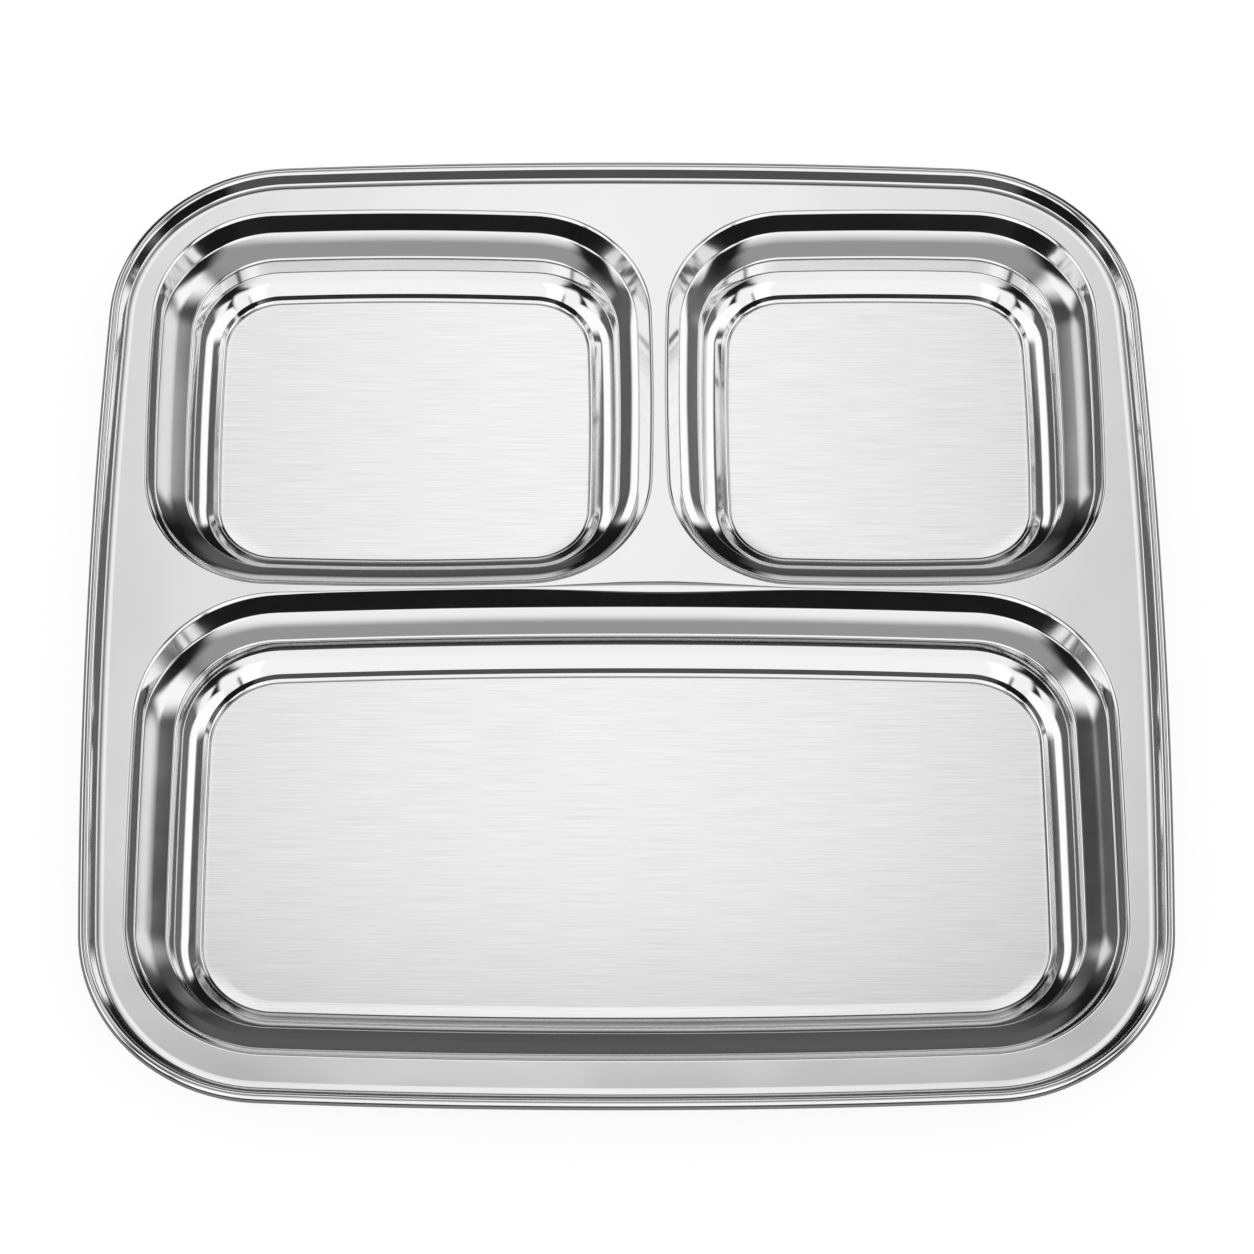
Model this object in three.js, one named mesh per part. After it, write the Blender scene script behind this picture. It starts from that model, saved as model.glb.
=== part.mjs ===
// Serving tray with three compartments, pressed from one stainless sheet, its edge rolled round a wire.
// Millimetres, +Z up. The two small compartments lie at the back, +Y. The tray stands on z = 0, with the
// origin under its middle.

import * as THREE from 'three';

// Plan of the tray, measured over the rolled edge
const TRAY_WIDTH = 260.4;
const TRAY_DEPTH = 260;
const TRAY_CORNER_RADIUS = 44.7;
const TRAY_BOW_RADIUS = 2000;

// Sheet, and the wire that the edge is rolled round
const SHEET = 0.6;
const WIRE_DIAMETER = 1.8;
const WIRE_CLEARANCE = 0.3;

// Upright rim, from the flange to the top of the rolled edge
const RIM_RISE = 3.1;
const RIM_SLOPE_DEG = 68;
const RIM_FOOT_RADIUS = 1.5;
const CURL_END_DEG = 295;

// Flange, from the rolled edge's outside to the compartments' lips, and between the lips
const SIDE_FLANGE = 11.7;
const BACK_FLANGE = 12.9;
const FRONT_FLANGE = 12.7;
const DIVIDER = 2.7;

// Compartments at their lips. The wide one bows out a little between the bows of the small ones.
const SMALL_DEPTH = 108.8;
const LEFT_WIDTH = 125.65;
const BOW_OVERLAP = 0.3;
const MAIN_CORNER_RADIUS = 35;
const SMALL_CORNER_RADIUS = 31;
const MAIN_BOW_RADIUS = 2200;
const SMALL_BOW_RADIUS = 750;

// Wall of a compartment, from the lip down to the floor
const LIP_RADIUS = 1;
const UPPER_WALL_SLOPE_DEG = 56;
const UPPER_WALL_DROP = 4.53;
const CREASE_RADIUS = 1.2;
const SHOULDER_RADIUS = 18;
const SHOULDER_UPPER_RUN = 2;
const SHOULDER_UPPER_DROP = 0.89;
const SHOULDER_LOWER_RUN = 4.71;
const SHOULDER_LOWER_DROP = 1.17;
const STEP_RUN = 1.1;
const STEP_DROP = 4.37;
const COVE_RADIUS = 8;
const COVE_UPPER_RUN = 2.4;
const COVE_UPPER_DROP = 0.97;
const COVE_LOWER_RUN = 2.45;
const COVE_LOWER_DROP = 2.12;
const FLOOR_STEP_RUN = 0.68;
const FLOOR_STEP_DROP = 1.45;
const FLOOR_RADIUS = 1.55;
const INSIDE_BEND_RADIUS = 0.4;
const DIVIDER_PINCH = 2;
const CROSS_PINCH = 1;

// Facets
const COMPARTMENT_CORNER_STEPS = 6;
const COMPARTMENT_HALF_SIDE_STEPS = 2;
const RIM_CORNER_STEPS = 8;
const RIM_HALF_SIDE_STEPS = 2;
const CURL_STEP_DEG = 31;
const WIRE_SIDES = 8;

const SHEET_COLOUR = '#c9c9c8';
const WIRE_COLOUR = '#9b9c9c';

const radians = THREE.MathUtils.degToRad;

// A closed outline: a rectangle with bowed sides and round corners, tangent all the way round.
// It runs counter-clockwise from the middle of the right side, with the same count of points at any size.
function bowedOutline(rect, cornerRadius, bowRadius, cornerSteps, halfSideSteps) {
  const centre = rect.getCenter(new THREE.Vector2());
  const half = rect.getSize(new THREE.Vector2()).multiplyScalar(0.5);
  const sideCentre = new THREE.Vector2(half.x - bowRadius, 0);
  const endCentre = new THREE.Vector2(0, half.y - bowRadius);
  const reach = bowRadius - cornerRadius;
  const between = endCentre.clone().sub(sideCentre);
  const middle = sideCentre.clone().add(endCentre).multiplyScalar(0.5);
  const height = Math.sqrt(reach ** 2 - between.lengthSq() / 4);
  const across = new THREE.Vector2(-between.y, between.x).normalize();
  const way = across.x + across.y > 0 ? 1 : -1;
  const corner = middle.addScaledVector(across, way * height);
  const sideTurn = Math.atan2(corner.y - sideCentre.y, corner.x - sideCentre.x);
  const endTurn = Math.atan2(corner.y - endCentre.y, corner.x - endCentre.x);

  const quarter = [
    [sideCentre, bowRadius, 0, sideTurn, halfSideSteps],
    [corner, cornerRadius, sideTurn, endTurn, cornerSteps],
    [endCentre, bowRadius, endTurn, Math.PI / 2, halfSideSteps],
  ].flatMap(([arcCentre, radius, from, to, steps]) => {
    const arc = new THREE.EllipseCurve(arcCentre.x, arcCentre.y, radius, radius, from, to);
    return arc.getPoints(steps).slice(0, -1);
  });

  const mirrored = (points, x, y) => points.map((point) => new THREE.Vector2(point.x * x, point.y * y));
  const top = new THREE.Vector2(0, half.y);
  const backward = quarter.slice(1).reverse();
  return [
    ...quarter,
    top,
    ...mirrored(backward, -1, 1),
    ...mirrored(quarter, -1, -1),
    ...mirrored([top], 1, -1),
    ...mirrored(backward, 1, -1),
  ].map((point) => point.add(centre));
}

// A bent profile of a sheet: straight runs between corners, each corner rounded by its radius.
// Each point has its place across and down, the sheet's slope there, and its place across on the upper side.
function bentProfile(corners) {
  const points = [];
  for (let i = 1; i + 1 < corners.length; i += 1) {
    const [before, corner, after] = [corners[i - 1], corners[i], corners[i + 1]];
    const slopeIn = Math.atan2(corner.drop - before.drop, corner.run - before.run);
    const slopeOut = Math.atan2(after.drop - corner.drop, after.run - corner.run);
    const turn = slopeOut - slopeIn;
    const tangent = corner.radius * Math.tan(Math.abs(turn) / 2);
    const side = Math.sign(turn);
    const centreRun = corner.run - tangent * Math.cos(slopeIn) - side * corner.radius * Math.sin(slopeIn);
    const centreDrop = corner.drop - tangent * Math.sin(slopeIn) + side * corner.radius * Math.cos(slopeIn);
    for (let step = 0; step <= corner.steps; step += 1) {
      const slope = slopeIn + (turn * step) / corner.steps;
      const run = centreRun + side * corner.radius * Math.sin(slope);
      const drop = centreDrop - side * corner.radius * Math.cos(slope);
      points.push({ run, drop, slope, upperRun: run });
    }
  }
  return points;
}

// The same profile on the sheet's underside
function underside(profile) {
  return profile.map(({ run, drop, slope, upperRun }) => ({
    run: run - SHEET * Math.sin(slope),
    drop: drop + SHEET * Math.cos(slope),
    slope,
    upperRun,
  }));
}

// A closed surface, put together from rings of points, the bands between them and flat plates
class Surface {
  positions = [];
  triangles = [];

  ring(outline, z) {
    const first = this.positions.length / 3;
    outline.forEach((point) => this.positions.push(point.x, point.y, z));
    return { first, outline };
  }

  // Joins two rings. The faces look up where the second ring lies inside the first at the same height.
  band(outer, inner) {
    const count = outer.outline.length;
    for (let i = 0; i < count; i += 1) {
      const next = (i + 1) % count;
      this.triangles.push(outer.first + i, outer.first + next, inner.first + next);
      this.triangles.push(outer.first + i, inner.first + next, inner.first + i);
    }
  }

  plate(outer, holes, facesUp) {
    const rings = [outer, ...holes];
    const indices = rings.flatMap((ring) => ring.outline.map((point, i) => ring.first + i));
    const faces = THREE.ShapeUtils.triangulateShape(
      outer.outline,
      holes.map((hole) => hole.outline),
    );
    faces.forEach(([a, b, c]) => {
      const face = facesUp ? [a, b, c] : [a, c, b];
      this.triangles.push(...face.map((corner) => indices[corner]));
    });
  }

  geometry() {
    const geometry = new THREE.BufferGeometry();
    geometry.setAttribute('position', new THREE.Float32BufferAttribute(this.positions, 3));
    geometry.setIndex(this.triangles);
    geometry.computeVertexNormals();
    return geometry;
  }
}

// Wall profile of the outer walls
const outsideBend = INSIDE_BEND_RADIUS + SHEET;
const lipReach = LIP_RADIUS * Math.tan(radians(UPPER_WALL_SLOPE_DEG) / 2);
const upperWallRun = UPPER_WALL_DROP / Math.tan(radians(UPPER_WALL_SLOPE_DEG));
const wallRuns = [
  { run: lipReach, drop: 0, radius: LIP_RADIUS, steps: 3 },
  { run: upperWallRun, drop: UPPER_WALL_DROP, radius: CREASE_RADIUS, steps: 2 },
  { run: SHOULDER_UPPER_RUN, drop: SHOULDER_UPPER_DROP, radius: SHOULDER_RADIUS, steps: 1 },
  { run: SHOULDER_LOWER_RUN, drop: SHOULDER_LOWER_DROP, radius: outsideBend, steps: 1 },
  { run: STEP_RUN, drop: STEP_DROP, radius: INSIDE_BEND_RADIUS, steps: 1 },
  { run: COVE_UPPER_RUN, drop: COVE_UPPER_DROP, radius: COVE_RADIUS, steps: 1 },
  { run: COVE_LOWER_RUN, drop: COVE_LOWER_DROP, radius: outsideBend, steps: 1 },
  { run: FLOOR_STEP_RUN, drop: FLOOR_STEP_DROP, radius: FLOOR_RADIUS, steps: 2 },
];
const wallCorners = [{ run: 0, drop: 0 }];
for (const piece of wallRuns) {
  const last = wallCorners.at(-1);
  wallCorners.push({ ...piece, run: last.run + piece.run, drop: last.drop + piece.drop });
}
const floorReach = FLOOR_RADIUS * Math.tan(Math.atan2(FLOOR_STEP_DROP, FLOOR_STEP_RUN) / 2);
const wallRun = wallCorners.at(-1).run + floorReach;
const compartmentDepth = wallCorners.at(-1).drop;
wallCorners.push({ run: wallRun, drop: compartmentDepth });
const wallProfile = bentProfile(wallCorners);

// Heights
const flangeTop = compartmentDepth + SHEET;
const beadRadius = WIRE_DIAMETER / 2 + WIRE_CLEARANCE + SHEET;
const beadHeight = flangeTop + RIM_RISE - beadRadius;

// Lips of the three compartments
const left = -TRAY_WIDTH / 2 + SIDE_FLANGE;
const right = TRAY_WIDTH / 2 - SIDE_FLANGE;
const front = -TRAY_DEPTH / 2 + FRONT_FLANGE;
const back = TRAY_DEPTH / 2 - BACK_FLANGE;
const smallFront = back - SMALL_DEPTH;
const leftEnd = left + LEFT_WIDTH;

const compartments = [
  {
    lip: new THREE.Box2(new THREE.Vector2(left, front), new THREE.Vector2(right, smallFront + BOW_OVERLAP)),
    cornerRadius: MAIN_CORNER_RADIUS,
    bowRadius: MAIN_BOW_RADIUS,
    pinch: { left: 0, right: 0, front: 0, back: CROSS_PINCH },
    pinchStart: wallCorners[4].run,
  },
  {
    lip: new THREE.Box2(new THREE.Vector2(left, smallFront), new THREE.Vector2(leftEnd, back)),
    cornerRadius: SMALL_CORNER_RADIUS,
    bowRadius: SMALL_BOW_RADIUS,
    pinch: { left: 0, right: DIVIDER_PINCH, front: DIVIDER_PINCH, back: 0 },
    pinchStart: wallCorners[2].run,
  },
  {
    lip: new THREE.Box2(new THREE.Vector2(leftEnd + DIVIDER, smallFront), new THREE.Vector2(right, back)),
    cornerRadius: SMALL_CORNER_RADIUS,
    bowRadius: SMALL_BOW_RADIUS,
    pinch: { left: DIVIDER_PINCH, right: 0, front: DIVIDER_PINCH, back: 0 },
    pinchStart: wallCorners[2].run,
  },
];

// Outline of a compartment at a point of the wall profile. Beside another compartment the wall is narrower:
// the small ones are pinched from the shoulder on, the wide one in the step.
function compartmentOutline({ lip, cornerRadius, bowRadius, pinch, pinchStart }, { run, upperRun }) {
  const pinchEnd = wallCorners[5].run;
  const share = THREE.MathUtils.clamp((upperRun - pinchStart) / (pinchEnd - pinchStart), 0, 1);
  const rect = new THREE.Box2(
    new THREE.Vector2(lip.min.x + run - share * pinch.left, lip.min.y + run - share * pinch.front),
    new THREE.Vector2(lip.max.x - run + share * pinch.right, lip.max.y - run + share * pinch.back),
  );
  const radius = cornerRadius - run + (share * Math.max(...Object.values(pinch))) / 2;
  return bowedOutline(rect, radius, bowRadius, COMPARTMENT_CORNER_STEPS, COMPARTMENT_HALF_SIDE_STEPS);
}

// Outline of the rim, a distance in from the outside of the rolled edge
function rimOutline(inset) {
  const half = new THREE.Vector2(TRAY_WIDTH / 2 - inset, TRAY_DEPTH / 2 - inset);
  const rect = new THREE.Box2(half.clone().negate(), half);
  const radius = TRAY_CORNER_RADIUS - inset;
  return bowedOutline(rect, radius, TRAY_BOW_RADIUS - inset, RIM_CORNER_STEPS, RIM_HALF_SIDE_STEPS);
}

// Rim profile: the foot bends up out of the flange, and the wall runs up into the curl round the wire.
// Each ring is given by its distance in from the outside and its height.
function rimProfile(depth) {
  const wallSlope = radians(RIM_SLOPE_DEG);
  const tangentInset = beadRadius * (1 + Math.sin(wallSlope));
  const tangentHeight = beadHeight + beadRadius * Math.cos(wallSlope);
  const footInset = tangentInset + (tangentHeight - flangeTop) / Math.tan(wallSlope);
  const footReach = RIM_FOOT_RADIUS * Math.tan(wallSlope / 2);
  const footSteps = 3;
  const points = [];
  for (let step = 0; step <= footSteps; step += 1) {
    const slope = (wallSlope * step) / footSteps;
    const radius = RIM_FOOT_RADIUS + depth;
    points.push({
      inset: footInset + footReach - radius * Math.sin(slope),
      height: flangeTop + RIM_FOOT_RADIUS - radius * Math.cos(slope),
    });
  }
  const curlStart = 90 - RIM_SLOPE_DEG;
  const curlSteps = Math.ceil((CURL_END_DEG - curlStart) / CURL_STEP_DEG);
  for (let step = 0; step <= curlSteps; step += 1) {
    const turn = radians(curlStart + ((CURL_END_DEG - curlStart) * step) / curlSteps);
    points.push({
      inset: beadRadius + (beadRadius - depth) * Math.cos(turn),
      height: beadHeight + (beadRadius - depth) * Math.sin(turn),
    });
  }
  return points;
}

// The pressed sheet: the upper skin and the underside, joined at the edge of the curl
function pressedTray() {
  const surface = new Surface();
  const skins = [
    { facesUp: true, depth: 0, profile: wallProfile },
    { facesUp: false, depth: SHEET, profile: underside(wallProfile) },
  ];
  const edges = skins.map(({ facesUp, depth, profile }) => {
    const join = (outer, inner) => (facesUp ? surface.band(outer, inner) : surface.band(inner, outer));

    const lips = compartments.map((compartment) => {
      const rings = profile.map((point) => (
        surface.ring(compartmentOutline(compartment, point), flangeTop - point.drop)
      ));
      rings.slice(1).forEach((ring, i) => join(rings[i], ring));
      surface.plate(rings.at(-1), [], facesUp);
      return rings[0];
    });

    const rimRings = rimProfile(depth).map(({ inset, height }) => surface.ring(rimOutline(inset), height));
    rimRings.slice(1).forEach((ring, i) => join(ring, rimRings[i]));
    surface.plate(rimRings[0], lips, facesUp);
    return rimRings.at(-1);
  });
  surface.band(edges[1], edges[0]);
  return surface.geometry();
}

// The stiffening wire, one closed loop inside the curl
function rimWire() {
  const surface = new Surface();
  const rings = [];
  for (let side = 0; side < WIRE_SIDES; side += 1) {
    const turn = (2 * Math.PI * side) / WIRE_SIDES;
    const inset = beadRadius + (WIRE_DIAMETER / 2) * Math.cos(turn);
    rings.push(surface.ring(rimOutline(inset), beadHeight + (WIRE_DIAMETER / 2) * Math.sin(turn)));
  }
  rings.forEach((ring, i) => surface.band(rings[(i + 1) % WIRE_SIDES], ring));
  return surface.geometry();
}

function steelPiece(name, geometry, colour, roughness) {
  const material = new THREE.MeshStandardMaterial({ color: colour, roughness, metalness: 1 });
  const mesh = new THREE.Mesh(geometry, material);
  mesh.name = name;
  return mesh;
}

const tray = new THREE.Group();
tray.add(steelPiece('pressed_tray', pressedTray(), SHEET_COLOUR, 0.12));
tray.add(steelPiece('rim_wire', rimWire(), WIRE_COLOUR, 0.4));

export default tray;
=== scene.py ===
import math

import bmesh
import bpy
from mathutils import Matrix, Vector


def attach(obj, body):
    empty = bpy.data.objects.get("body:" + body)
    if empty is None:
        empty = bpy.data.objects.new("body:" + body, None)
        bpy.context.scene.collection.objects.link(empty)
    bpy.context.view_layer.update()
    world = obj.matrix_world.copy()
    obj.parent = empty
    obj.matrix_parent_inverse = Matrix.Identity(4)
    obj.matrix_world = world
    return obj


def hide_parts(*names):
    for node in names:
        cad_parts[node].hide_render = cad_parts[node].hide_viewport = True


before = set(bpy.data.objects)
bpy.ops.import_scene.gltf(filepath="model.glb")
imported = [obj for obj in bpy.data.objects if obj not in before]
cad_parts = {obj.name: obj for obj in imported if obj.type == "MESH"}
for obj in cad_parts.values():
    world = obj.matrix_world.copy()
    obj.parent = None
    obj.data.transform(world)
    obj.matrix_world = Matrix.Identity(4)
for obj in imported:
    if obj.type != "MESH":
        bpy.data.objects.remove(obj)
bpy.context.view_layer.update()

bpy.context.scene.view_settings.view_transform = "Standard"


# Compartments
# Three dishes pressed into one blank of stainless sheet: a wide one in front and two small ones behind.
# Each wall is stepped: rolled lip, steep upper wall, shoulder, upright step, cove and a last step to
# the floor.

MM = 0.001
TRAY_WIDTH = 260.4 * MM
TRAY_DEPTH = 260 * MM
SHEET = 0.6 * MM
SIDE_FLANGE = 11.7 * MM
BACK_FLANGE = 12.9 * MM
FRONT_FLANGE = 12.7 * MM
DIVIDER = 2.7 * MM
SMALL_DEPTH = 108.8 * MM
LEFT_WIDTH = 125.65 * MM
BOW_OVERLAP = 0.3 * MM
MAIN_CORNER_RADIUS = 35 * MM
SMALL_CORNER_RADIUS = 31 * MM
MAIN_BOW_RADIUS = 2200 * MM
SMALL_BOW_RADIUS = 750 * MM
DIVIDER_PINCH = 2 * MM
CROSS_PINCH = 1 * MM
LIP_RADIUS = 0.8 * MM
LIP_SLOPE = math.radians(40)
LIP_RUN = 0.6 * MM
UPPER_WALL_SLOPE = math.radians(56)
UPPER_WALL_RUN = 2.715 * MM
SIDE_NARROWING = 1.2 * MM
CREASE_BEND = 1.2 * MM
SHOULDER_TOP_RUN = 2 * MM
SHOULDER_TOP_DROP = 0.89 * MM
SHOULDER_BEND = 18 * MM
SHOULDER_RUN = 4.71 * MM
SHOULDER_DROP = 1.17 * MM
STEP_RUN = 1.1 * MM
STEP_DROP = 4.37 * MM
COVE_TOP_RUN = 2.4 * MM
COVE_TOP_DROP = 0.97 * MM
COVE_BEND = 8 * MM
COVE_RUN = 2.45 * MM
COVE_DROP = 2.12 * MM
INSIDE_BEND = 0.4 * MM
OUTSIDE_BEND = INSIDE_BEND + SHEET
FLOOR_RADIUS = 1.55 * MM
FLOOR_STEP_RUN = 1.22 * MM
FLOOR_STEP_DROP = 1.45 * MM
FLOOR_EDGE_RUN = 2.6 * MM
FLOOR_EDGE_SLOPE = math.radians(6)

# Each stretch of the wall below the lip: its run inwards, its drop, and the bend at its lower end
WALL_STRETCHES = [
    (LIP_RUN, LIP_RUN * math.tan(LIP_SLOPE), LIP_RADIUS),
    (UPPER_WALL_RUN, UPPER_WALL_RUN * math.tan(UPPER_WALL_SLOPE), CREASE_BEND),
    (SHOULDER_TOP_RUN, SHOULDER_TOP_DROP, SHOULDER_BEND),
    (SHOULDER_RUN, SHOULDER_DROP, OUTSIDE_BEND),
    (STEP_RUN, STEP_DROP, INSIDE_BEND),
    (COVE_TOP_RUN, COVE_TOP_DROP, COVE_BEND),
    (COVE_RUN, COVE_DROP, OUTSIDE_BEND),
    (FLOOR_STEP_RUN, FLOOR_STEP_DROP, FLOOR_RADIUS),
]

# The back lip of the wide compartment is sharp, and rolled softly where the divider meets the flange
CROSS_LIP_RADIUS = 0.5 * MM
CROSS_LIP_START, CROSS_LIP_END = 95 * MM, 70 * MM
JUNCTION_LIP_RADIUS = 3.5 * MM
JUNCTION_HALF_WIDTH = 40 * MM

# Narrow flat margins beside the bends keep the flange and floors truly flat to the eye
FLAT_MARGIN = 0.15 * MM
CORNER_STEPS = 24
HALF_SIDE_STEPS = 14
BEND_STEP = math.radians(8)
FLOOR_EDGE_STEPS = 3


def bowed_outline(low, high, corner_radius, bow_radius):
    """A rectangle with bowed sides and round corners, counter-clockwise from its right side's middle."""
    centre = (Vector(low) + Vector(high)) / 2
    half = (Vector(high) - Vector(low)) / 2
    side_centre = Vector((half.x - bow_radius, 0))
    end_centre = Vector((0, half.y - bow_radius))
    between = end_centre - side_centre
    height = math.sqrt((bow_radius - corner_radius) ** 2 - between.length_squared / 4)
    across = Vector((-between.y, between.x)).normalized()
    if across.x + across.y < 0:
        across.negate()
    corner = (side_centre + end_centre) / 2 + across * height
    side_turn = math.atan2(corner.y - side_centre.y, corner.x - side_centre.x)
    end_turn = math.atan2(corner.y - end_centre.y, corner.x - end_centre.x)
    quarter = []
    for arc_centre, radius, start, end, steps in (
        (side_centre, bow_radius, 0, side_turn, HALF_SIDE_STEPS),
        (corner, corner_radius, side_turn, end_turn, CORNER_STEPS),
        (end_centre, bow_radius, end_turn, math.pi / 2, HALF_SIDE_STEPS),
    ):
        for step in range(steps):
            turn = start + (end - start) * step / steps
            quarter.append(arc_centre + radius * Vector((math.cos(turn), math.sin(turn))))
    backward = quarter[:0:-1]
    top = Vector((0, half.y))
    points = quarter + [top]
    points += [Vector((-p.x, p.y)) for p in backward]
    points += [-p for p in quarter] + [-top]
    points += [Vector((p.x, -p.y)) for p in backward]
    return [p + centre for p in points]


def bent_profile(corners):
    """Straight runs between corners, each corner rounded by its radius. A point is (run, drop, slope)."""
    points = []
    for before, corner, after in zip(corners, corners[1:], corners[2:]):
        slope_in = math.atan2(corner[1] - before[1], corner[0] - before[0])
        slope_out = math.atan2(after[1] - corner[1], after[0] - corner[0])
        turn = slope_out - slope_in
        radius = math.copysign(corner[2], turn)
        tangent = radius * math.tan(turn / 2)
        centre_run = corner[0] - tangent * math.cos(slope_in) - radius * math.sin(slope_in)
        centre_drop = corner[1] - tangent * math.sin(slope_in) + radius * math.cos(slope_in)
        steps = max(2, math.ceil(abs(turn) / BEND_STEP))
        for step in range(steps + 1):
            slope = slope_in + turn * step / steps
            run = centre_run + radius * math.sin(slope)
            drop = centre_drop - radius * math.cos(slope)
            points.append((run, drop, slope))
    return points


wall_corners = [(0, 0), (LIP_RADIUS * math.tan(LIP_SLOPE / 2), 0, LIP_RADIUS)]
for run, drop, radius in WALL_STRETCHES:
    wall_corners.append((wall_corners[-1][0] + run, wall_corners[-1][1] + drop, radius))
floor_depth = wall_corners[-1][1]
floor_reach = FLOOR_RADIUS * math.tan(math.atan2(FLOOR_STEP_DROP, FLOOR_STEP_RUN) / 2)
floor_step_top, floor_corner = wall_corners[-2][0], wall_corners[-1][0]
wall_run = floor_corner + floor_reach
wall_corners.append((wall_run, floor_depth))
wall_profile = bent_profile(wall_corners)
lip_points = sum(1 for run, drop, slope in wall_profile if run < wall_corners[2][0] + LIP_RADIUS / 2)

FLANGE_TOP = floor_depth + SHEET
left = -TRAY_WIDTH / 2 + SIDE_FLANGE
right = TRAY_WIDTH / 2 - SIDE_FLANGE
front = -TRAY_DEPTH / 2 + FRONT_FLANGE
back = TRAY_DEPTH / 2 - BACK_FLANGE
small_front = back - SMALL_DEPTH
left_end = left + LEFT_WIDTH
divider_middle = left_end + DIVIDER / 2

# Lip corners, radii, the wall's pinch on each side (left, front, right, back) and where the pinch starts
lip_end, crease, step_top, step_foot = (wall_corners[count][0] for count in (2, 3, 5, 6))
compartments = {
    "main_compartment": ((left, front), (right, small_front + BOW_OVERLAP), MAIN_CORNER_RADIUS,
                         MAIN_BOW_RADIUS, (0, 0, 0, CROSS_PINCH), step_top),
    "left_compartment": ((left, small_front), (left_end, back), SMALL_CORNER_RADIUS,
                         SMALL_BOW_RADIUS, (0, DIVIDER_PINCH, DIVIDER_PINCH, 0), crease),
    "right_compartment": ((left_end + DIVIDER, small_front), (right, back), SMALL_CORNER_RADIUS,
                          SMALL_BOW_RADIUS, (DIVIDER_PINCH, DIVIDER_PINCH, 0, 0), crease),
}


def eased(value, start, end):
    """A smooth ramp from 0 at the start to 1 at the end."""
    share = min(max((value - start) / (end - start), 0), 1)
    return share * share * (3 - 2 * share)


def compartment_ring(name, run, drop):
    """The ring of points round a compartment at one place of its wall. Beside another one the wall is
    narrower, and at the left and right of the tray its upper part is steeper."""
    low, high, corner_radius, bow_radius, pinches, pinch_start = compartments[name]
    share = min(max((run - pinch_start) / (step_foot - pinch_start), 0), 1)
    inner_low = (low[0] + run - share * pinches[0], low[1] + run - share * pinches[1])
    inner_high = (high[0] - run + share * pinches[2], high[1] - run + share * pinches[3])
    radius = corner_radius - run + share * max(pinches) / 2
    outline = bowed_outline(inner_low, inner_high, radius, bow_radius)
    centre = (Vector(low) + Vector(high)) / 2
    reach = (high[1] - low[1]) / 2
    steeper = min((run - lip_end) / (crease - lip_end), (step_top - run) / (step_top - crease))
    for p in outline:
        if not pinches[0 if p.x < centre.x else 2]:
            beside = eased(abs(p.y - centre.y), reach - run, reach - corner_radius)
            p.x += math.copysign(SIDE_NARROWING * max(steeper, 0) * beside, p.x - centre.x)
    return [Vector((p.x, p.y, FLANGE_TOP - drop)) for p in outline]


def roll_back_lip(ring, run, drop, share):
    """Rolls the back of a lip ring to its own radius. Share is how far down the lip the ring is."""
    slope = UPPER_WALL_SLOPE * share
    wall_top = wall_corners[2][0] - wall_corners[2][1] / math.tan(UPPER_WALL_SLOPE)
    middle = sum(p.y for p in ring) / len(ring)
    for p in ring:
        if p.y > middle:
            softness = 1 - eased(abs(p.x - divider_middle), 0, JUNCTION_HALF_WIDTH)
            radius = CROSS_LIP_RADIUS + (JUNCTION_LIP_RADIUS - CROSS_LIP_RADIUS) * softness
            start = wall_top - radius * math.tan(UPPER_WALL_SLOPE / 2)
            change = eased(abs(p.x), CROSS_LIP_START, CROSS_LIP_END)
            p.y -= change * (start + radius * math.sin(slope) - run)
            p.z -= change * (radius * (1 - math.cos(slope)) - drop)
    return ring


def lift_front_edge(ring, run):
    """Lifts the front of a ring at the floor's edge, where the floor curves up softly to the wall."""
    slope = math.tan(FLOOR_EDGE_SLOPE)
    bend_start = floor_corner - floor_reach * math.cos(math.atan2(FLOOR_STEP_DROP, FLOOR_STEP_RUN))
    bend_run = wall_run - bend_start
    edge_lift = slope * FLOOR_EDGE_RUN / 2
    if run > wall_run:
        lift = edge_lift * max(1 - (run - wall_run) / FLOOR_EDGE_RUN, 0) ** 2
    elif run > bend_start:
        share = (wall_run - run) / bend_run
        lift = edge_lift + slope * bend_run * (share - share * share / 2)
    else:
        share = max((run - floor_step_top) / (bend_start - floor_step_top), 0)
        lift = (edge_lift + slope * bend_run / 2) * share
    foremost = min(p.y for p in ring)
    for p in ring:
        p.z += lift * eased(p.y - foremost, SMALL_CORNER_RADIUS - wall_run, 0)
    return ring


def new_loop(name, ring):
    """Adds a circle, laid on a ring of points. Each point keeps its number round the ring."""
    bpy.ops.object.select_all(action="DESELECT")
    bpy.ops.mesh.primitive_circle_add(vertices=len(ring), radius=TRAY_WIDTH / 2)
    loop = bpy.context.object
    loop.name = name
    loop.data.name = name
    number = loop.data.attributes.new("number", "INT", "POINT")
    for vertex in loop.data.vertices:
        number.data[vertex.index].value = vertex.index
        vertex.co = ring[vertex.index]
    bpy.ops.object.mode_set(mode="EDIT")
    bpy.ops.mesh.select_all(action="SELECT")
    return loop


def draw_ring(piece, ring):
    """Extrudes the selected loop of edges and lays the new loop on a ring of points."""
    bpy.ops.mesh.extrude_edges_move()
    sheet = bmesh.from_edit_mesh(piece.data)
    number = sheet.verts.layers.int["number"]
    for vertex in sheet.verts:
        if vertex.select:
            vertex.co = ring[vertex[number]]
    bmesh.update_edit_mesh(piece.data)


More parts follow.
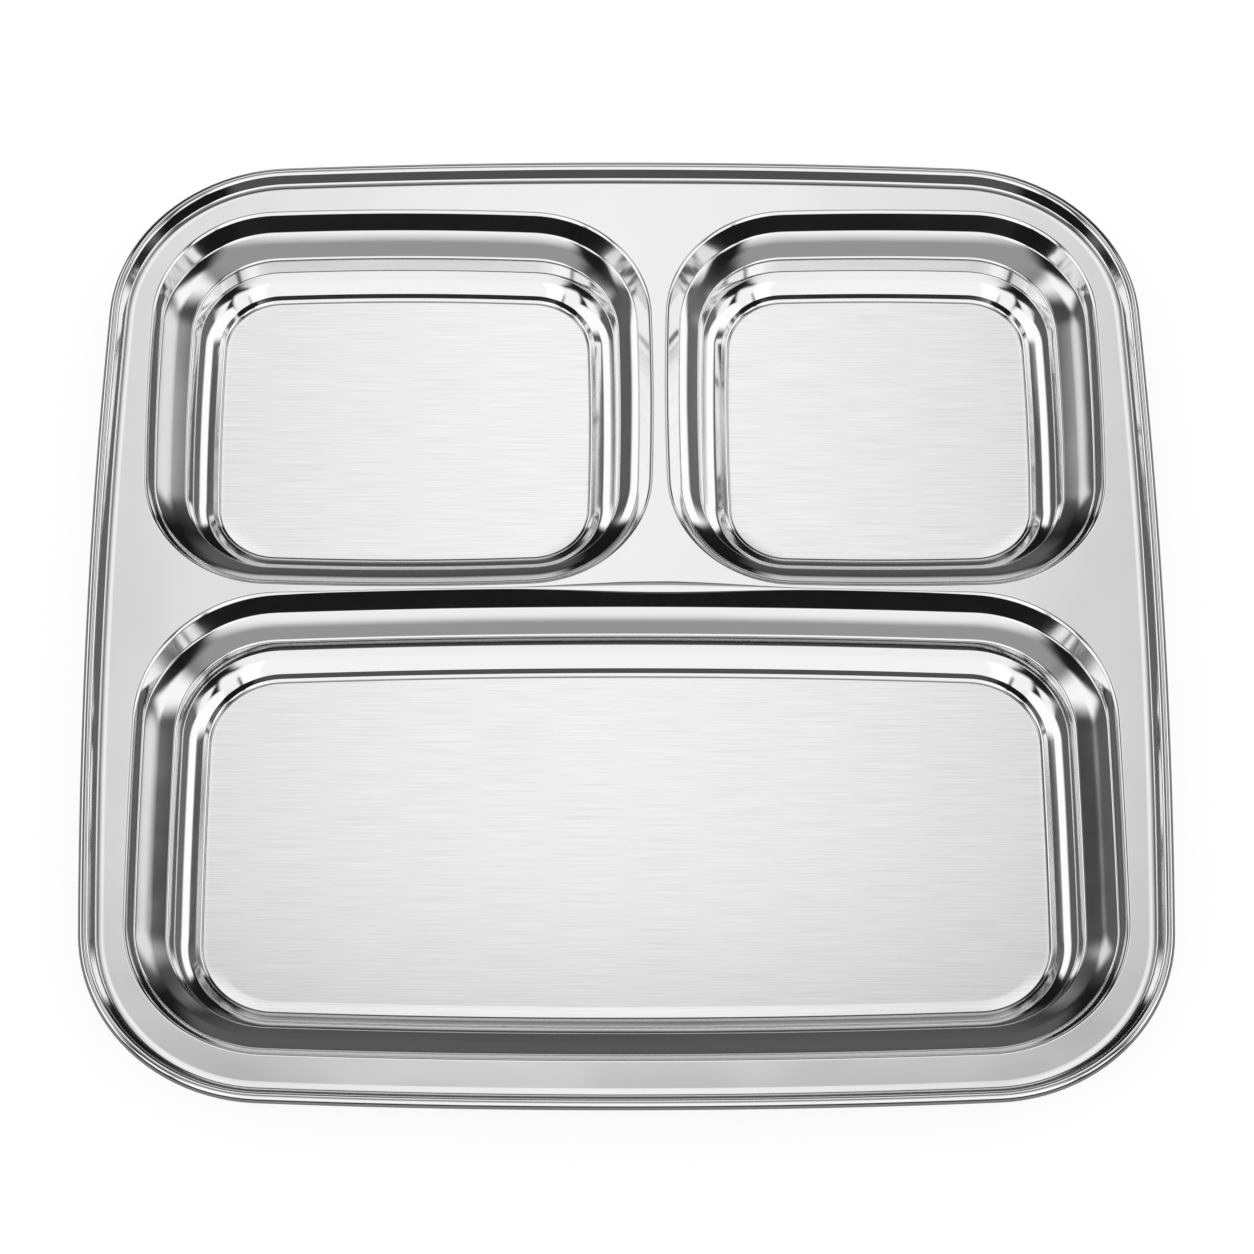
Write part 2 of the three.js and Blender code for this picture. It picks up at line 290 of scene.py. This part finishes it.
pressings = []
for name in compartments:
    profile = [(-FLAT_MARGIN, 0, 0)] + wall_profile
    for step in range(1, FLOOR_EDGE_STEPS + 1):
        profile.append((wall_run + FLOOR_EDGE_RUN * step / FLOOR_EDGE_STEPS, floor_depth, 0))
    profile.append((wall_run + FLOOR_EDGE_RUN + FLAT_MARGIN, floor_depth, 0))
    rings = []
    for count, (run, drop, slope) in enumerate(profile):
        ring = compartment_ring(name, run, drop)
        if name == "main_compartment" and count <= lip_points:
            ring = roll_back_lip(ring, run, drop, count / lip_points)
        rings.append(lift_front_edge(ring, run))
    pressing = new_loop(name, rings[0])
    for ring in rings[1:]:
        draw_ring(pressing, ring)
    bpy.ops.mesh.edge_face_add()
    bpy.ops.object.mode_set(mode="OBJECT")
    pressings.append(pressing)


# Flange, rim and rolled edge
# The rest of the same sheet: a flat flange round the compartments, a low slanting rim, and the edge of the
# sheet rolled outwards and under, round a stiffening wire.

TRAY_CORNER_RADIUS = 44.7 * MM
TRAY_BOW_RADIUS = 2000 * MM
WIRE_DIAMETER = 1.2 * MM
WIRE_CLEARANCE = 0.2 * MM
RIM_RISE = 2.8 * MM
RIM_SLOPE = math.radians(54)
RIM_FOOT_RADIUS = 1 * MM
RIM_TOE_RADIUS = 8 * MM
RIM_TOE_SLOPE = math.radians(11)
CURL_END = math.radians(295)
BEAD_RADIUS = WIRE_DIAMETER / 2 + WIRE_CLEARANCE + SHEET
BEAD_HEIGHT = FLANGE_TOP + RIM_RISE - BEAD_RADIUS


def rim_ring(inset, height):
    """The ring of points round the rim, a distance in from the outside of the rolled edge."""
    half = Vector((TRAY_WIDTH / 2 - inset, TRAY_DEPTH / 2 - inset))
    outline = bowed_outline(-half, half, TRAY_CORNER_RADIUS - inset, TRAY_BOW_RADIUS - inset)
    return [Vector((p.x, p.y, height)) for p in outline]


def arc_ring(centre_inset, centre_height, radius, turn):
    """A ring on a rounded part of the rim's section. Turn 0 faces inwards and a quarter turn faces up."""
    return rim_ring(centre_inset + radius * math.cos(turn), centre_height + radius * math.sin(turn))


tangent_height = BEAD_HEIGHT + BEAD_RADIUS * math.cos(RIM_SLOPE)
foot_inset = BEAD_RADIUS * (1 + math.sin(RIM_SLOPE)) + (tangent_height - FLANGE_TOP) / math.tan(RIM_SLOPE)
toe_lift = (RIM_TOE_RADIUS - RIM_FOOT_RADIUS) * (1 - math.cos(RIM_TOE_SLOPE))
foot_centre = foot_inset + RIM_FOOT_RADIUS * math.tan(RIM_SLOPE / 2) - toe_lift / math.tan(RIM_SLOPE)
toe_centre = foot_centre + (RIM_TOE_RADIUS - RIM_FOOT_RADIUS) * math.sin(RIM_TOE_SLOPE)
foot_steps = math.ceil((RIM_SLOPE - RIM_TOE_SLOPE) / BEND_STEP)
curl_start = math.pi / 2 - RIM_SLOPE
curl_steps = math.ceil((CURL_END - curl_start) / BEND_STEP)

# The flange curves up softly to the rim's foot
TOE_STEPS = 4
toe_height = FLANGE_TOP + RIM_TOE_RADIUS
foot_height = FLANGE_TOP + toe_lift + RIM_FOOT_RADIUS
rim = new_loop("rim", rim_ring(toe_centre + FLAT_MARGIN, FLANGE_TOP))
for step in range(TOE_STEPS):
    turn = -math.pi / 2 - RIM_TOE_SLOPE * step / TOE_STEPS
    draw_ring(rim, arc_ring(toe_centre, toe_height, RIM_TOE_RADIUS, turn))
for step in range(foot_steps + 1):
    turn = -math.pi / 2 - RIM_TOE_SLOPE - (RIM_SLOPE - RIM_TOE_SLOPE) * step / foot_steps
    draw_ring(rim, arc_ring(foot_centre, foot_height, RIM_FOOT_RADIUS, turn))
for step in range(curl_steps + 1):
    turn = curl_start + (CURL_END - curl_start) * step / curl_steps
    draw_ring(rim, arc_ring(BEAD_RADIUS, BEAD_HEIGHT, BEAD_RADIUS, turn))
bpy.ops.object.mode_set(mode="OBJECT")

for pressing in pressings:
    pressing.select_set(True)
bpy.ops.object.join()
tray = bpy.context.object
tray.name = "pressed_sheet"
tray.data.name = "pressed_sheet"

# The flange fills the flat space between the rim's foot and the three lips
bpy.ops.object.mode_set(mode="EDIT")
bpy.ops.mesh.select_mode(type="EDGE")
bpy.ops.mesh.select_all(action="DESELECT")
sheet = bmesh.from_edit_mesh(tray.data)
for edge in sheet.edges:
    level = all(abs(vertex.co.z - FLANGE_TOP) < SHEET / 10 for vertex in edge.verts)
    edge.select_set(edge.is_boundary and level)
bmesh.update_edit_mesh(tray.data)
bpy.ops.mesh.fill(use_beauty=False)
bpy.ops.mesh.select_all(action="SELECT")
bpy.ops.mesh.normals_make_consistent(inside=False)
sheet = bmesh.from_edit_mesh(tray.data)
facing = sum(face.normal.z * face.calc_area() for face in sheet.faces)
if facing < 0:
    bpy.ops.mesh.flip_normals()
bpy.ops.object.mode_set(mode="OBJECT")


def apply_modifier(piece, kind, **settings):
    """Adds a modifier with its settings and applies it."""
    modifier = piece.modifiers.new(kind.lower(), kind)
    for setting, value in settings.items():
        setattr(modifier, setting, value)
    bpy.ops.object.modifier_apply(modifier=modifier.name)


# Slots for the finishes: mirror and satin above, then mill finish below each. The floors are satin
MIRROR, SATIN, UNDERSIDE = 0, 1, 2
for slot in range(4):
    tray.data.materials.append(None)
for face in tray.data.polygons:
    on_floor = face.center.z < FLANGE_TOP - floor_depth + SHEET / 10
    face.material_index = SATIN if on_floor else MIRROR
apply_modifier(tray, "SOLIDIFY", thickness=SHEET, offset=-1, use_even_offset=True,
               material_offset=UNDERSIDE)
bpy.ops.object.shade_smooth_by_angle(angle=math.radians(40))
apply_modifier(tray, "WEIGHTED_NORMAL", mode="FACE_AREA", weight=100, keep_sharp=True)


def linear(code):
    """An sRGB hex colour as a linear colour."""
    parts = [int(code[i:i + 2], 16) / 255 for i in (1, 3, 5)]
    parts = [p / 12.92 if p <= 0.04045 else ((p + 0.055) / 1.055) ** 2.4 for p in parts]
    return (*parts, 1)


def add_node(tree, kind, inputs=None, **settings):
    """Adds a node with its settings; an input takes another node's output or a plain value."""
    made = tree.nodes.new(kind)
    for setting, value in settings.items():
        setattr(made, setting, value)
    for socket, value in (inputs or {}).items():
        if isinstance(value, bpy.types.NodeSocket):
            tree.links.new(value, made.inputs[socket])
        else:
            made.inputs[socket].default_value = value
    return made


def new_material(name):
    """An empty node material."""
    material = bpy.data.materials.new(name)
    material.use_nodes = True
    material.node_tree.nodes.clear()
    return material


# Mirror-polished stainless steel: buffed after pressing. It shows the room, bent a little by the slight
# waviness of the drawn sheet, with faint buffing haze.
mirror_steel = new_material("mirror_polished_stainless")
tree = mirror_steel.node_tree
place = add_node(tree, "ShaderNodeTexCoord")
waves = add_node(tree, "ShaderNodeTexNoise", {
    "Vector": place.outputs["Object"], "Scale": 1 / (30 * MM), "Detail": 1})
haze = add_node(tree, "ShaderNodeTexNoise", {
    "Vector": place.outputs["Object"], "Scale": 1 / (6 * MM), "Detail": 4})
rough = add_node(tree, "ShaderNodeMapRange", {
    "Value": haze.outputs["Fac"], "To Min": 0.05, "To Max": 0.10})
bump = add_node(tree, "ShaderNodeBump", {
    "Height": waves.outputs["Fac"], "Strength": 1, "Distance": 0.12 * MM})
steel = add_node(tree, "ShaderNodeBsdfPrincipled", {
    "Base Color": linear("#eeeeee"), "Metallic": 1, "Roughness": rough.outputs["Result"],
    "Normal": bump.outputs["Normal"]})
add_node(tree, "ShaderNodeOutputMaterial", {"Surface": steel.outputs["BSDF"]})

# Satin stainless steel: the floors are brushed from side to side after polishing, which spreads the
# reflection across the strokes and leaves fine streaks.
satin_steel = new_material("satin_brushed_stainless")
tree = satin_steel.node_tree
place = add_node(tree, "ShaderNodeTexCoord")
# Real strokes are about 0.05 mm apart; they are drawn 0.24 mm apart so that they show
strokes = add_node(tree, "ShaderNodeMapping", {
    "Vector": place.outputs["Object"], "Scale": (1 / (18 * MM), 1 / (0.24 * MM), 1 / (18 * MM))})
grain = add_node(tree, "ShaderNodeTexNoise", {
    "Vector": strokes.outputs["Vector"], "Scale": 1, "Detail": 3})
rough = add_node(tree, "ShaderNodeMapRange", {
    "Value": grain.outputs["Fac"], "To Min": 0.09, "To Max": 0.15})
bump = add_node(tree, "ShaderNodeBump", {
    "Height": grain.outputs["Fac"], "Strength": 0.15, "Distance": 0.01 * MM})
along = add_node(tree, "ShaderNodeCombineXYZ", {"X": 1, "Y": 0, "Z": 0})
tint = add_node(tree, "ShaderNodeMapRange", {
    "Value": grain.outputs["Fac"], "From Min": 0.3, "From Max": 0.66,
    "To Min": linear("#eaeaea")[0], "To Max": linear("#ffffff")[0]})
steel = add_node(tree, "ShaderNodeBsdfPrincipled", {
    "Base Color": tint.outputs["Result"], "Metallic": 1, "Roughness": rough.outputs["Result"],
    "Anisotropic": 0.6, "Tangent": along.outputs["Vector"], "Normal": bump.outputs["Normal"]})
add_node(tree, "ShaderNodeOutputMaterial", {"Surface": steel.outputs["BSDF"]})

# Mill-finish stainless steel: the underside is left as the sheet came, dull and faintly mottled
mill_steel = new_material("mill_finish_stainless")
tree = mill_steel.node_tree
place = add_node(tree, "ShaderNodeTexCoord")
mottle = add_node(tree, "ShaderNodeTexNoise", {
    "Vector": place.outputs["Object"], "Scale": 1 / (4 * MM), "Detail": 5})
rough = add_node(tree, "ShaderNodeMapRange", {
    "Value": mottle.outputs["Fac"], "To Min": 0.28, "To Max": 0.42})
steel = add_node(tree, "ShaderNodeBsdfPrincipled", {
    "Base Color": linear("#cfcfcf"), "Metallic": 1, "Roughness": rough.outputs["Result"]})
add_node(tree, "ShaderNodeOutputMaterial", {"Surface": steel.outputs["BSDF"]})

for slot, finish in enumerate((mirror_steel, satin_steel, mill_steel, mill_steel)):
    tray.data.materials[slot] = finish

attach(tray, "root")
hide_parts("pressed_tray")


# Rim wire
# One closed loop of drawn steel wire, laid in the edge before it is rolled shut. It shows only in the slot
# under the curl.

WIRE_SIDES = 14
wire = new_loop("edge_wire", arc_ring(BEAD_RADIUS, BEAD_HEIGHT, WIRE_DIAMETER / 2, 0))
for side in range(1, WIRE_SIDES + 1):
    draw_ring(wire, arc_ring(BEAD_RADIUS, BEAD_HEIGHT, WIRE_DIAMETER / 2, 2 * math.pi * side / WIRE_SIDES))
bpy.ops.mesh.select_all(action="SELECT")
bpy.ops.mesh.remove_doubles(threshold=WIRE_DIAMETER / 100)
bpy.ops.mesh.normals_make_consistent(inside=False)
bpy.ops.object.mode_set(mode="OBJECT")
bpy.ops.object.shade_smooth()

# Drawn steel wire: bright, with fine die lines that show as uneven gloss
wire_steel = new_material("drawn_steel_wire")
tree = wire_steel.node_tree
place = add_node(tree, "ShaderNodeTexCoord")
lines = add_node(tree, "ShaderNodeTexNoise", {
    "Vector": place.outputs["Object"], "Scale": 1 / (0.4 * MM), "Detail": 3})
rough = add_node(tree, "ShaderNodeMapRange", {"Value": lines.outputs["Fac"], "To Min": 0.3, "To Max": 0.5})
steel = add_node(tree, "ShaderNodeBsdfPrincipled", {
    "Base Color": linear("#b4b4b4"), "Metallic": 1, "Roughness": rough.outputs["Result"]})
add_node(tree, "ShaderNodeOutputMaterial", {"Surface": steel.outputs["BSDF"]})
wire.data.materials.append(wire_steel)

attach(wire, "root")
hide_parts("rim_wire")


# Floor
# A wide white table top of smooth paint, lit softly. It shows white to the camera and dimmer in the steel,
# and keeps the tray's shadow.

FLOOR_SIZE = 12
bpy.ops.object.select_all(action="DESELECT")
bpy.ops.mesh.primitive_plane_add(size=FLOOR_SIZE)
floor = bpy.context.object
floor.name = "floor"
white_floor = new_material("white_table")
tree = white_floor.node_tree
rays = add_node(tree, "ShaderNodeLightPath")
in_steel = add_node(tree, "ShaderNodeMath", {
    0: rays.outputs["Is Glossy Ray"], 1: 0.08}, operation="MULTIPLY")
glow = add_node(tree, "ShaderNodeMath", {
    0: rays.outputs["Is Camera Ray"], 1: 0.87, 2: in_steel.outputs["Value"]}, operation="MULTIPLY_ADD")
lift = add_node(tree, "ShaderNodeEmission", {
    "Color": linear("#ffffff"), "Strength": glow.outputs["Value"]})
paint = add_node(tree, "ShaderNodeBsdfDiffuse", {"Color": linear("#8c8c8c")})
both = add_node(tree, "ShaderNodeAddShader", {0: lift.outputs["Emission"], 1: paint.outputs["BSDF"]})
add_node(tree, "ShaderNodeOutputMaterial", {"Surface": both.outputs["Shader"]})
floor.data.materials.append(white_floor)


# Studio light
# A dark room with large soft panels far away: behind and above, in front and at the sides. The steel shows
# the panels white and the gaps between them black.

world = bpy.data.worlds.new("studio")
bpy.context.scene.world = world
world.use_nodes = True
tree = world.node_tree
tree.nodes.clear()
aim = add_node(tree, "ShaderNodeTexCoord").outputs["Generated"]


def hang_panel(light, azimuth, elevation, half_width, half_height, soft_width, soft_height, level):
    """Hangs a panel before the light so far. Azimuth 0 is behind the tray and 90 its right, in degrees."""
    turn, rise = math.radians(azimuth), math.radians(elevation)
    centre = Vector((math.sin(turn) * math.cos(rise), math.cos(turn) * math.cos(rise), math.sin(rise)))
    across = Vector((math.cos(turn), -math.sin(turn), 0))
    upward = across.cross(centre)
    ahead = add_node(tree, "ShaderNodeVectorMath", {0: aim, 1: centre}, operation="DOT_PRODUCT")
    cover = 1
    for axis, half, soft in ((across, half_width, soft_width), (upward, half_height, soft_height)):
        offset = add_node(tree, "ShaderNodeVectorMath", {0: aim, 1: axis}, operation="DOT_PRODUCT")
        angle = add_node(tree, "ShaderNodeMath", {0: offset.outputs["Value"], 1: ahead.outputs["Value"]},
                         operation="ARCTAN2")
        size = add_node(tree, "ShaderNodeMath", {0: angle.outputs["Value"]}, operation="ABSOLUTE")
        edge = add_node(tree, "ShaderNodeMapRange", {
            "Value": size.outputs["Value"], "From Min": math.radians(half - soft),
            "From Max": math.radians(half + soft), "To Min": 1, "To Max": 0},
            interpolation_type="SMOOTHSTEP")
        cover = add_node(tree, "ShaderNodeMath", {0: cover, 1: edge.outputs["Result"]},
                         operation="MULTIPLY").outputs["Value"]
    return add_node(tree, "ShaderNodeMix", {"Factor": cover, "A": light, "B": level}).outputs["Result"]


def both_sides(azimuth, *rest):
    """A panel at the right and its like at the left."""
    return (azimuth, *rest), (-azimuth, *rest)


# Each panel: azimuth, elevation, half width, half height, softness of its sides and of its ends, and level
ROOM_LEVEL = 0.01
PANELS = [
    # Overhead, from front to back
    (180, 78, 18, 28, 4, 6, 0.34),
    # Behind, with a dim wall below
    (0, 30, 14, 10, 4, 5, 0.11),
    (0, 55.8, 8.5, 11.4, 9, 3.3, 1.03),
    # In front, dim below, with a bright strip at each end
    (180, 17, 30, 4, 4, 2, 0.09),
    (180, 70, 20, 13, 3, 6, 1),
    (180, 45.5, 34, 18.5, 3, 4, 1.05),
    *both_sides(146, 45, 9, 18, 2, 4, 1.2),
    # At the corners in front, two on each side
    *both_sides(121, 44, 9, 16, 2, 4, 1.05),
    *both_sides(86, 46, 9, 9, 2, 2, 1.05),
    # Grey reflectors beside the panel behind, each with a bright patch
    (52, 46, 16, 12, 6, 10, 0.16),
    (-52, 46, 16, 12, 6, 10, 0.12),
    (40, 50, 6, 5, 3, 3, 0.85),
    (-33.5, 50.5, 3, 4, 1.5, 2.5, 0.8),
    # At the sides, low and dim below, with a small one above each
    *both_sides(74, 9, 30, 4, 4, 2, 0.14),
    *both_sides(74, 27, 34, 11.5, 2, 2.5, 1.15),
    *both_sides(49, 63, 5, 6, 2, 2, 1.1),
    # Low strip behind
    (0, 6, 10, 9, 4, 5, 0.6),
]
light = ROOM_LEVEL
for panel in PANELS:
    light = hang_panel(light, *panel)
sky = add_node(tree, "ShaderNodeBackground", {"Color": linear("#ffffff"), "Strength": light})
add_node(tree, "ShaderNodeOutputWorld", {"Surface": sky.outputs["Background"]})


# Camera
# A long lens, looking down on the tray from the front.

IMAGE_SIZE = 1254
FOCAL_PIXELS = 5298
CAMERA_RISE = math.radians(61.5)
CAMERA_DISTANCE = 1297.97 * MM
CAMERA_AIM = Vector((0.33, 5.54, 0.6)) * MM
CAMERA_YAW = 0.0126
CAMERA_ROLL = 0.01084

forward = Vector((0, math.cos(CAMERA_RISE), -math.sin(CAMERA_RISE)))
sideways = Vector((1, 0, 0))
upright = Vector((0, math.sin(CAMERA_RISE), math.cos(CAMERA_RISE)))
rolled_side = sideways * math.cos(CAMERA_ROLL) + upright * math.sin(CAMERA_ROLL)
rolled_up = upright * math.cos(CAMERA_ROLL) - sideways * math.sin(CAMERA_ROLL)
stand = Matrix((rolled_side, rolled_up, -forward)).transposed().to_4x4()
stand.translation = CAMERA_AIM - forward * CAMERA_DISTANCE
bpy.ops.object.camera_add()
camera = bpy.context.object
camera.name = "camera"
camera.matrix_world = Matrix.Rotation(-CAMERA_YAW, 4, "Z") @ stand
camera.data.sensor_width = 36
camera.data.lens = camera.data.sensor_width * FOCAL_PIXELS / IMAGE_SIZE
bpy.context.scene.camera = camera
